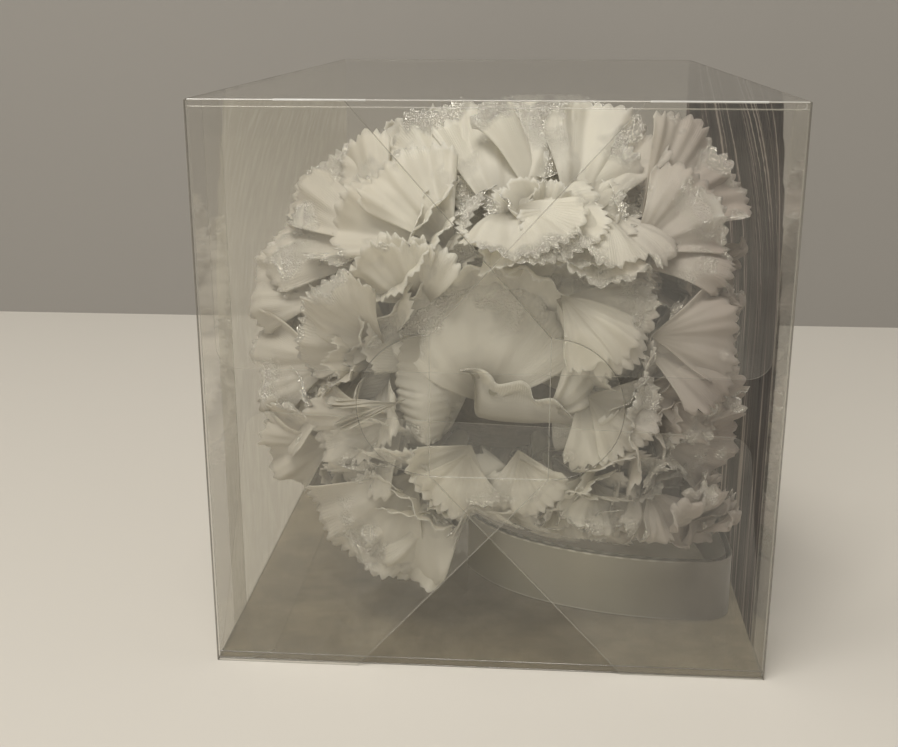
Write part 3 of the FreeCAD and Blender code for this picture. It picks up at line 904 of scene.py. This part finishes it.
def cut_petal(layer, reach, hub, dice):
    """How one petal is cut and bent: its profile from calyx to rim, its waves, fold, curl and notch."""
    lean = math.radians(layer["lean"] + dice.uniform(-4, 4))
    length = reach * layer["share"] * dice.uniform(0.95, 1.02)
    rim = Vector((length * math.sin(lean), length * math.cos(lean)))
    belly_out, belly_up = layer["belly"]
    return SimpleNamespace(
        start=Vector((hub_radius, hub)),
        belly=Vector((rim.x * belly_out, hub + (rim.y - hub) * belly_up)),
        rim=rim,
        length=length - hub,
        half_width=math.pi / layer["petals"] * dice.uniform(1.12, 1.36),
        fold=dice.uniform(-1, 1) * 3 * MM,
        curl=dice.uniform(-0.7, 1.0) * 4 * MM,
        wave_start=dice.uniform(0, math.tau),
        ripple_start=dice.uniform(0, math.tau),
        waves=dice.uniform(0.9, 1.8),
        ripples=dice.uniform(4.0, 7.0),
        height=layer["wave"] * MM * dice.uniform(0.6, 1.2),
        notch=dice.uniform(-0.6, 0.6),
        notch_depth=max(0.0, dice.uniform(-0.06, 0.12)),
        seed=Vector((dice.uniform(0, 90), dice.uniform(0, 90), 0)),
    )


def share_along(cut, across, along, column):
    """How far towards the rim a point of the grid lies, once the rim is rounded, notched and pinked."""
    rounding = 0.22 * abs(across) ** 3.2
    edge = 1 - rounding + 0.05 * noise.noise(cut.seed + Vector((across * 2.2, 0, 5)))
    edge -= cut.notch_depth * max(0.0, 1 - abs(across - cut.notch) / 0.10)
    t = along * edge
    if along > rim_row:
        tooth = tooth_depth * (0.6 + 0.7 * noise.noise(cut.seed + Vector((column * 0.7, 1, 0))))
        t -= tooth / cut.length * (column % 2)
    return t


def petal_lift(cut, across, t):
    """How far a point stands off the petal's profile: waves, ripples, crumples, a fold and a curled rim."""
    wave = 0.72 * math.sin(cut.waves * math.pi * across + cut.wave_start)
    ripple = 0.28 * math.sin(cut.ripples * math.pi * across + cut.ripple_start)
    lift = t ** 1.7 * cut.height * (wave + ripple)
    lift += t ** 2.5 * 2.2 * MM * noise.noise(cut.seed + Vector((across * 1.8, t * 2.0, 0)))
    lift += cut.fold * t * (abs(across) - 0.4)
    lift += cut.curl * max(0.0, t - 0.6) ** 2 * 6
    return lift


def shape_petal(mesh, columns, cut, turn, stand, is_front):
    """Moves the grid's points to a fan of cloth that rises from the calyx and turns outward."""
    for point in mesh.vertices:
        across, along = 2 * point.co.x, point.co.y + 0.5
        column = round((point.co.x + 0.5) * columns)
        t = share_along(cut, across, along, column)
        profile = cut.start * (1 - t) ** 2 + cut.belly * 2 * t * (1 - t) + cut.rim * t ** 2
        slope = (cut.belly - cut.start) * (1 - t) + (cut.rim - cut.belly) * t
        slope.normalize()
        outward = Vector((-slope.y, slope.x))
        profile = profile + outward * petal_lift(cut, across, t)
        angle = turn + across * cut.half_width * (0.45 + 0.55 * smooth_step(1.6 * t))
        radius = max(profile.x, least_petal_radius)
        local = Vector((radius * math.cos(angle), radius * math.sin(angle), profile.y))
        point.co = inside_film(middle + stand @ local, is_front)


# ---- Single petals, in millimetres

front_petal_y = -112.0

# The folded petal in the middle of the front head: its upper and lower outline in X and Z, from left to right
folded_upper = ((-8.6, 82.7), (-5.2, 83.5), (-2.4, 83.3), (0.0, 81.6), (1.6, 79.4), (4.9, 79.8),
                (8.2, 80.4), (10.4, 78.6), (11.6, 75.2), (16.7, 75.6), (20.3, 72.3), (24.5, 67.6))
folded_lower = ((-8.5, 82.2), (-5.6, 81.4), (-4.6, 76.5), (-4.4, 70.2), (-1.6, 68.8), (2.6, 68.2),
                (7.0, 67.9), (11.0, 67.8), (15.2, 68.1), (18.4, 67.8), (21.6, 67.4), (24.5, 67.0))

# Petals that lie open on the ball's outside, by head: root, tip, half their spread in degrees,
# and how far they are cupped outward
broad_petals = {
    "front_upper": (((-11, -105, 113), (-28, -92, 137), 34, 4), ((3, -104, 117), (0, -74, 149), 32, 4),
                    ((3, -98, 124), (12, -120, 113), 56, 5), ((26, -90, 124), (37, -112, 108), 44, 5)),
    "top": (((-9, -98, 122), (-20, -70, 147), 30, 4), ((20, -100, 118), (32, -72, 149), 32, 4)),
    "upper_left": (((-28, -100, 112), (-50, -74, 134), 34, 4), ((-30, -106, 88), (-48, -108, 106), 46, 5),
                   ((-20, -106, 100), (-32, -112, 118), 48, 4), ((-44, -92, 98), (-70, -76, 101), 42, 5)),
    "upper_right": (((40, -90, 120), (57, -70, 144), 30, 3), ((37, -97, 112), (59, -84, 127), 38, 5),
                    ((60, -74, 102), (73, -72, 112), 12, 1)),
    "right_mid": (((42, -108, 92), (66, -98, 90), 40, 4), ((60, -76, 84), (73, -74, 97), 12, 1),
                  ((40, -110, 78), (64, -98, 72), 40, 4), ((44, -104, 62), (69, -88, 57), 40, 4),
                  ((26, -112, 76), (44, -114, 66), 50, 3)),
    "front_mid": (((2, -88, 94), (1, -104, 120), 66, 2), ((18, -113, 104), (34, -122, 87), 38, 3),
                  ((-25, -119, 75), (-44, -120, 75), 5, 0), ((-6, -116, 60), (-10, -121, 43), 52, 3),
                  ((8, -116, 59), (17, -120, 46), 44, 3)),
    "front_low_left": (((-20, -110, 52), (-42, -102, 24), 42, 5), ((-10, -106, 42), (-20, -102, 14), 38, 5)),
    "front_low_right": (((48, -98, 30), (59, -104, 50), 42, 4), ((28, -108, 50), (30, -113, 35), 56, 3),
                        ((60, -92, 28), (72, -90, 38), 44, 3), ((44, -104, 46), (50, -104, 31), 50, 3),
                        ((58, -90, 38), (62, -86, 22), 55, 2)),
    "left_mid": (((-46, -98, 56), (-66, -90, 50), 44, 5), ((-44, -98, 80), (-70, -84, 74), 40, 5),
                 ((-26, -110, 68), (-50, -106, 62), 42, 4)),
}
broad_columns = 76
broad_rows = 12
broad_tooth_spacing = 1.5
under_petal_depth = 4          # how far the root of the petal under a broad one lies further in
under_tip_depth = 3
under_petal_swing = 0.5        # how far it is turned to one side, as a share of the petal's length


def shape_cloth(columns, rows, place):
    """A grid of cloth whose points go where place(u, v) says, u and v from 0 to 1."""
    deselect()
    bpy.ops.mesh.primitive_grid_add(x_subdivisions=columns, y_subdivisions=rows, size=1)
    cloth = named("petal")
    for point in cloth.data.vertices:
        u, v = point.co.x + 0.5, point.co.y + 0.5
        point.co = Vector(place(u, v)) * MM
    return cloth


def trace(outline, share):
    """The point at a share of the way along an outline of points, rounded between them."""
    spot = share * (len(outline) - 1)
    i = min(int(spot), len(outline) - 2)
    t = spot - i
    before, a = Vector(outline[max(i - 1, 0)]), Vector(outline[i])
    b, after = Vector(outline[i + 1]), Vector(outline[min(i + 2, len(outline) - 1)])
    return (a * 2 + (b - before) * t + (before * 2 - a * 5 + b * 4 - after) * t * t
            + (a * 3 - before - b * 3 + after) * t ** 3) / 2


def pinking(u, teeth):
    """How far a pinked edge is cut back at u, with teeth that differ in depth."""
    spot = u * teeth
    depth = tooth_depth / MM * (0.75 + 0.35 * math.sin(2.3 * int(spot)))
    return depth * abs(2 * (spot % 1) - 1)


def folded_petal(u, v):
    top, base = trace(folded_upper, u), trace(folded_lower, u)
    x, z = base + (top - base) * v
    bulge = 1.5 * math.sin(math.pi * min(v, 0.8))
    curl = 2.6 * smooth_step((v - 0.55) / 0.45)
    return x, front_petal_y + bulge - curl, z


def hanging_petal(u, v):
    """A petal that hangs to the left of the middle, folded back along its right edge."""
    z = 91.0 - 30.0 * v + (pinking(u, 6) if v > rim_row else 0)
    left = -25.0 - 2.0 * math.sin(math.pi * v) + 3.0 * v ** 4 + 0.6 * pinking(v, 12)
    right = -3.0 - 9.5 * v ** 1.6
    x = left + (right - left) * u
    bulge = 5.5 * math.sin(math.pi * min(1.0, u * 1.2)) * smooth_step(1.6 * v)
    fold = 7.0 * smooth_step((u - 0.75) / 0.25) * v
    return x, front_petal_y + 4.0 - bulge + fold, z


def fan_petal(root, radius, begin, end, bulge, teeth, crimp):
    """A fan that faces the camera: from its root to a pinked rim, between two angles from upright."""
    def place(u, v):
        angle = math.radians(begin + (end - begin) * u)
        rounding = 0.16 * abs(2 * u - 1) ** 3
        edge = radius * (1 - rounding + 0.10 * noise.noise(Vector((4 * u, radius, 0))))
        reach = edge * v - (pinking(u, teeth) if v > rim_row else 0)
        ripples = crimp * v ** 2 * math.sin(u * teeth * math.pi)
        ripples += 2.6 * v * noise.noise(Vector((5.5 * u, 2.2 * v, radius)))
        waves = 2.2 * v ** 2 * math.sin(u * 5.1 + radius) + bulge * math.sin(1.15 * math.pi * v) + ripples
        return root[0] + reach * math.sin(angle), root[1] - waves, root[2] + reach * math.cos(angle)
    return place


def broad_petal(root, tip, spread, cup):
    """A petal on the ball's outside, from its root to the middle of its pinked rim, turned outward by cup."""
    root, along = Vector(root), Vector(tip) - Vector(root)
    out = root + along / 2 - middle / MM
    out = (out - along * out.dot(along) / along.length_squared).normalized()
    side = along.cross(out).normalized() * along.length
    teeth = max(3, round(along.length * math.radians(spread) / broad_tooth_spacing))

    def place(u, v):
        across = 2 * u - 1
        angle = math.radians(spread) * across
        rounding = 0.14 * abs(across) ** 3
        edge = 1 - rounding + 0.10 * noise.noise(Vector((3.5 * u, root.z, 0)))
        reach = edge * v - (1.25 * pinking(u, teeth) / along.length if v > rim_row else 0)
        crumple = noise.noise(Vector((3.5 * u, 2.0 * v, root.x)))
        lift = cup * math.sin(0.7 * math.pi * v) + 6.0 * v ** 1.5 * crumple
        lift += 2.6 * v ** 2 * math.sin(across * 7.5 + root.x) * (0.6 + 0.4 * abs(across))
        lift += 0.45 * v ** 2 * math.sin(across * 23 + root.z)
        return root + (along * math.cos(angle) + side * math.sin(angle)) * reach + out * lift
    return place


def under_petal(root, tip, spread, cup, dice):
    """A second petal under a broad one, turned to one side of it."""
    root, tip = Vector(root), Vector(tip)
    inward = (middle / MM - root).normalized()
    swing = (tip - root).cross(inward) * dice.choice((-under_petal_swing, under_petal_swing))
    return root + inward * under_petal_depth, tip + inward * under_tip_depth + swing, 1.1 * spread, cup


def make_broad_petals(name, dice):
    pieces = []
    for petal in broad_petals.get(name, ()):
        pieces.append(shape_cloth(broad_columns, broad_rows, broad_petal(*petal)))
        under = under_petal(*petal, dice)
        pieces.append(shape_cloth(broad_columns, broad_rows, broad_petal(*under)))
    for piece in pieces:
        for point in piece.data.vertices:
            point.co = inside_film(point.co, True)
    return pieces


def make_middle_petals():
    """The petals in the middle of the front head, with a dark hollow left under them."""
    above = fan_petal(root=(-3, -107, 72), radius=34, begin=-62, end=66, bulge=5, teeth=16, crimp=0.4)
    right = fan_petal(root=(15, -107, 70), radius=19, begin=18, end=86, bulge=6, teeth=8, crimp=1.1)
    upper_right = fan_petal(root=(22, -102, 86), radius=24, begin=-20, end=120, bulge=10, teeth=11, crimp=0.2)
    return [
        shape_cloth(48, 10, folded_petal),
        shape_cloth(96, 12, above),
        shape_cloth(72, 12, right),
        shape_cloth(72, 12, upper_right),
        shape_cloth(30, 60, hanging_petal),
    ]


# ---- Heads

def join(pieces, name):
    deselect()
    for piece in pieces:
        piece.select_set(True)
    bpy.context.view_layer.objects.active = pieces[0]
    bpy.ops.object.join()
    return named(name)


def make_layer(layer, hub, reach, stand, is_front, dice):
    """The petals of one layer of a head, apart from those that would have no room."""
    petals = []
    flat = petal_grid(layer["columns"])
    begin = dice.uniform(0, math.tau)
    for i in range(layer["petals"]):
        turn = begin + math.tau * (i + dice.uniform(-0.15, 0.15)) / layer["petals"]
        if not has_room(layer, turn, reach, stand, is_front):
            continue
        petal = bpy.data.objects.new("petal", flat.copy())
        bpy.context.collection.objects.link(petal)
        cut = cut_petal(layer, reach, hub, dice)
        shape_petal(petal.data, layer["columns"], cut, turn, stand, is_front)
        petals.append(petal)
    return petals


def make_head(name, material):
    """All petals of one carnation, from where the frame has its calyx."""
    calyx = nodes[f"carnation_{name}_calyx"].data.vertices
    solid_petals = nodes[f"carnation_{name}_petals"].data.vertices
    axis = (sum((v.co for v in calyx), Vector()) / len(calyx) - middle).normalized()
    axis.z += head_lift.get(name, 0.0)
    axis.normalize()
    stand = axis.to_track_quat("Z", "Y").to_matrix()
    reach = max(least_reach, max((v.co - middle).length for v in solid_petals))
    dice = random.Random(name)
    is_front = name == front_head
    pieces = make_broad_petals(name, dice)
    if pieces:
        reach *= under_broad_petals
    if is_front:
        pieces += make_middle_petals()
    hub = core_radius + (front_hub_over_core if is_front else hub_over_core)
    for level, layer in enumerate(front_layers if is_front else petal_layers):
        pieces += make_layer(layer, hub + level * hub_rise, reach, stand, is_front, dice)
    head = join(pieces, f"carnation_{name}")
    thicken(head, petal_thickness)
    bpy.ops.object.shade_smooth()
    paint(head, material)
    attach(head, "carnation_ball")
    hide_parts(f"carnation_{name}_petals")


def make_heads():
    material = petal_material()
    begin, end = "carnation_", "_petals"
    for node in sorted(nodes):
        if node.startswith(begin) and node.endswith(end):
            make_head(node[len(begin):-len(end)], material)


# ---- Ribbon and fittings

def ribbon_loop():
    """Points and normals of the whole loop: out along one leg, round the fold, and back along the other."""
    outward = ribbon_route(0.0)
    back = ribbon_route(2 * ribbon_fold_radius)
    end, left = outward[-1]
    centre = end + left * ribbon_fold_radius
    along = Vector((left.y, -left.x, 0))
    fold = []
    for i in range(1, ribbon_fold_steps):
        angle = math.pi * i / ribbon_fold_steps
        spoke = along * math.sin(angle) - left * math.cos(angle)
        fold.append((centre + spoke * ribbon_fold_radius, -spoke))
    return outward + fold + [(place, -normal) for place, normal in reversed(back)]


def gathered(spot, share, up, leg):
    """A point of a leg's neck, at a share of the way from the leg's end to the foam.

    On its way the ribbon is gathered into small folds."""
    fold = ribbon_width / neck_folds / 2
    level = round(up * 2 * neck_folds) % 2
    bundle = neck_top[leg] + Vector(((up - 0.5) * neck_width, leg * (level - 0.5) * fold, 0))
    return spot.lerp(bundle, smooth_step(share) * 0.5 + share * 0.5)


def make_ribbon():
    """The loop and its two gathered necks, as one strip of satin."""
    loop = ribbon_loop()
    columns = len(loop) - 1 + 2 * neck_steps
    deselect()
    bpy.ops.mesh.primitive_grid_add(x_subdivisions=columns, y_subdivisions=2 * neck_folds, size=1)
    ribbon = named("ribbon")
    for point in ribbon.data.vertices:
        index = round((point.co.x + 0.5) * columns) - neck_steps
        up = point.co.y + 0.5
        nearest = min(max(index, 0), len(loop) - 1)
        place, normal = loop[nearest]
        sway = ribbon_sway * noise.noise(place * ribbon_sway_pace) * up
        spot = place + normal * sway + Vector((0, 0, ribbon_bottom + up * ribbon_width))
        if index != nearest:
            leg = outer_leg if index < 0 else inner_leg
            spot = gathered(spot, abs(index - nearest) / neck_steps, up, leg)
        point.co = spot
    thicken(ribbon, ribbon_thickness)
    bpy.ops.object.shade_smooth_by_angle(angle=math.radians(40))
    paint(ribbon, satin_material())
    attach(ribbon, "carnation_ball")
    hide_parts("ribbon_loop")


def paint_fittings():
    plastic = plain_material("calyx_plastic", (0.19, 0.18, 0.13), (0.25, 0.235, 0.17), scale=300,
                             roughness=0.45)
    # a dark foam: its tone is partly the foam's own, partly painted shade for the hollows where it shows
    # between petals
    foam = plain_material("floral_foam", (0.15, 0.13, 0.10), (0.21, 0.185, 0.14), scale=700,
                          roughness=0.9, bump_distance=0.4 * MM)
    steel = plain_material("pin_steel", (0.55, 0.55, 0.56), (0.66, 0.66, 0.67), scale=500,
                           roughness=0.3, metallic=1.0)
    for name, node in nodes.items():
        if name.endswith("_calyx"):
            paint(node, plastic)
    paint(nodes["foam_core"], foam)
    paint(nodes["floral_pin"], steel)
    tip = max((v.co for v in nodes["petal_pin"].data.vertices), key=lambda v: (v - middle).length)
    paint(nodes["petal_pin"], bead_material(tip))


def main():
    bpy.context.scene.view_settings.view_transform = "Standard"
    bpy.context.scene.cycles.transparent_max_bounces = 32      # enough for every sheet of film in a row
    make_camera()
    make_lights()
    make_stage()
    paint_carton()
    make_walls()
    make_folds()
    make_cut_edges()
    paint_fittings()
    make_heads()
    make_ribbon()


main()
